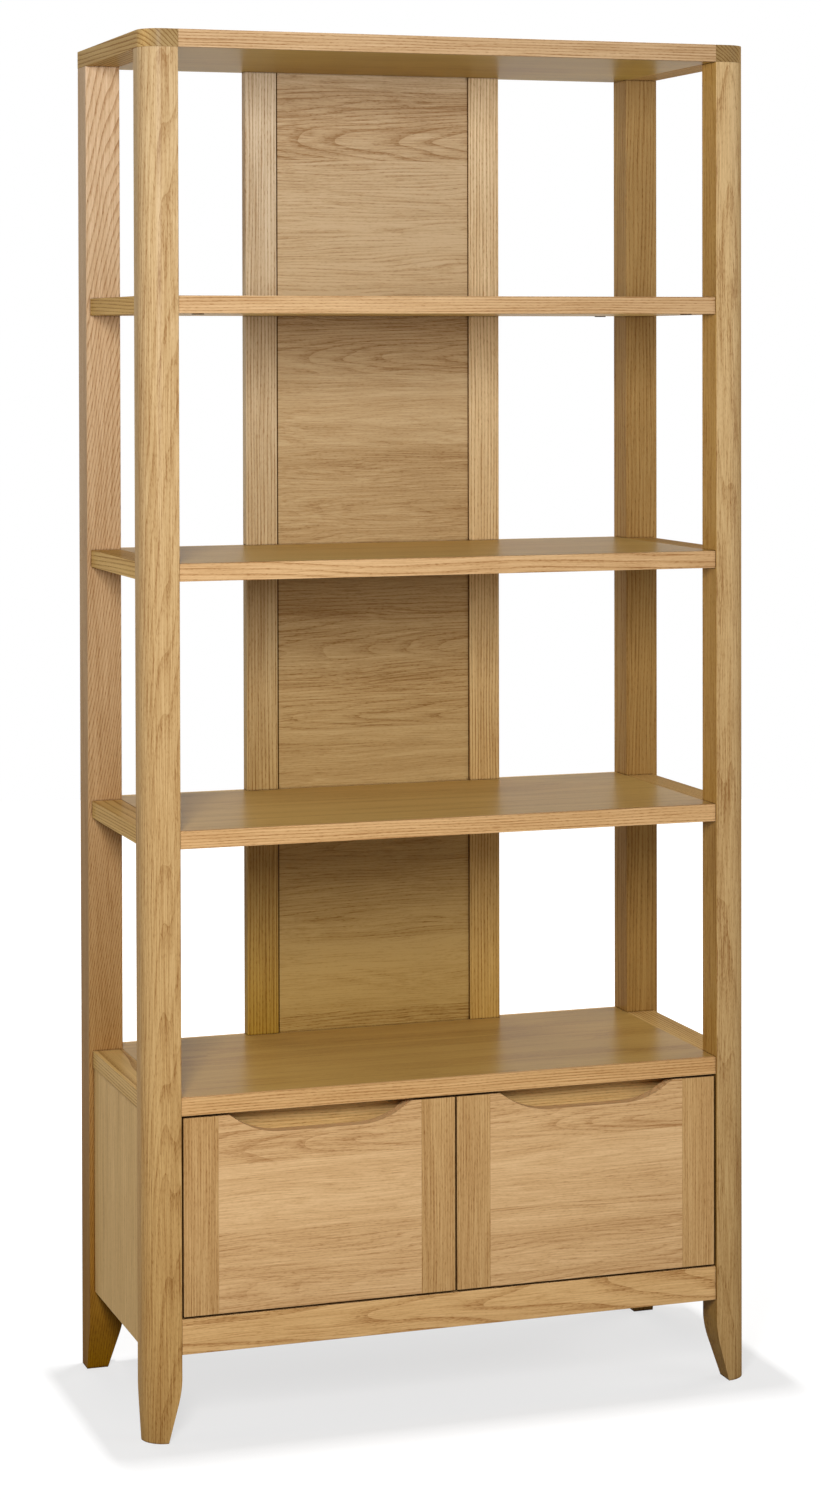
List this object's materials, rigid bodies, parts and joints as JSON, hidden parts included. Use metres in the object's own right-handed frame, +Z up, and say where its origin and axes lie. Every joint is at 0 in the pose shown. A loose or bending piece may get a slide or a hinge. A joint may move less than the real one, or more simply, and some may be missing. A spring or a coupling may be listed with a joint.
{
  "type": "shelving unit",
  "caption": "Tall open oak shelving unit with rounded front posts on tapered feet, a ladder-like back, and a low cabinet of drawers with scooped hand cut-outs.",
  "frame": {"origin": "on the floor, under the middle of the unit's width and depth", "axes": "+Z up, -Y to the front where the drawers open, +X to the viewer's right"},
  "size_m": [0.884, 0.382, 1.9],
  "materials": {
    "oak_post": "oak, satin lacquer, grain along the post",
    "oak_board": "oak, satin lacquer, grain along the board",
    "oak_edge": "oak, satin lacquer, grain along the strip",
    "oak_back": "oak, satin lacquer",
    "oak_side": "oak veneer, satin lacquer, upright grain",
    "oak_front": "oak, satin lacquer, upright grain",
    "oak_inner": "oak, satin lacquer",
    "box_wood": "pale hardwood, thin lacquer",
    "runner_steel": "zinc plated sheet steel",
    "cam_zinc": "die cast zinc",
    "bolt_steel": "zinc plated steel"
  },
  "bodies": {
    "frame": {"back_panel_lower": "oak_back", "back_panel_middle": "oak_back", "back_panel_top": "oak_back", "back_panel_upper": "oak_back", "back_stiles_left": "oak_back", "back_stiles_right": "oak_back", "base_rail": "oak_edge", "cabinet_back": "oak_inner", "cabinet_floor": "oak_inner", "cabinet_top_board": "oak_board", "cabinet_top_lipping": "oak_edge", "cabinet_top_rail_left": "oak_edge", "cabinet_top_rail_right": "oak_edge", "cam_bolts": "bolt_steel", "cam_locks": "cam_zinc", "finger_rail": "oak_inner", "lower_shelf_board": "oak_board", "lower_shelf_lipping": "oak_edge", "lower_shelf_rail_left": "oak_edge", "lower_shelf_rail_right": "oak_edge", "middle_shelf_board": "oak_board", "middle_shelf_lipping": "oak_edge", "middle_shelf_rail_left": "oak_edge", "middle_shelf_rail_right": "oak_edge", "partition": "oak_inner", "post_front_left": "oak_post", "post_front_right": "oak_post", "post_rear_left": "oak_post", "post_rear_right": "oak_post", "runner_cabinet_sections": "runner_steel", "runner_cleats": "oak_inner", "side_panel_left": "oak_side", "side_panel_right": "oak_side", "top_board": "oak_board", "top_lipping": "oak_edge", "top_rail_left": "oak_edge", "top_rail_right": "oak_edge", "upper_shelf_board": "oak_board", "upper_shelf_lipping": "oak_edge", "upper_shelf_rail_left": "oak_edge", "upper_shelf_rail_right": "oak_edge"},
    "drawer_left": {"drawer_left_bottom": "box_wood", "drawer_left_box_back": "box_wood", "drawer_left_box_front": "box_wood", "drawer_left_front_inner_stile": "oak_front", "drawer_left_front_outer_stile": "oak_front", "drawer_left_front_panel": "oak_front", "drawer_left_runner_sections": "runner_steel", "drawer_left_sides": "box_wood"},
    "drawer_right": {"drawer_right_bottom": "box_wood", "drawer_right_box_back": "box_wood", "drawer_right_box_front": "box_wood", "drawer_right_front_inner_stile": "oak_front", "drawer_right_front_outer_stile": "oak_front", "drawer_right_front_panel": "oak_front", "drawer_right_runner_sections": "runner_steel", "drawer_right_sides": "box_wood"},
    "runner_middle_left": {"runner_middle_sections_left": "runner_steel"},
    "runner_middle_right": {"runner_middle_sections_right": "runner_steel"}
  },
  "joints": [
    {"name": "drawer_left_slide", "type": "slide", "parent": "frame", "child": "drawer_left", "axis": [0, -1, 0], "range_m": [0, 0.3]},
    {"name": "drawer_right_slide", "type": "slide", "parent": "frame", "child": "drawer_right", "axis": [0, -1, 0], "range_m": [0, 0.3]},
    {"name": "runner_middle_left_slide", "type": "slide", "parent": "frame", "child": "runner_middle_left", "axis": [0, -1, 0], "range_m": [0, 0.15]},
    {"name": "runner_middle_right_slide", "type": "slide", "parent": "frame", "child": "runner_middle_right", "axis": [0, -1, 0], "range_m": [0, 0.15]}
  ],
  "couplings": [
    {"joint": "runner_middle_left_slide", "follows": "drawer_left_slide", "ratio": 0.5},
    {"joint": "runner_middle_right_slide", "follows": "drawer_right_slide", "ratio": 0.5}
  ]
}
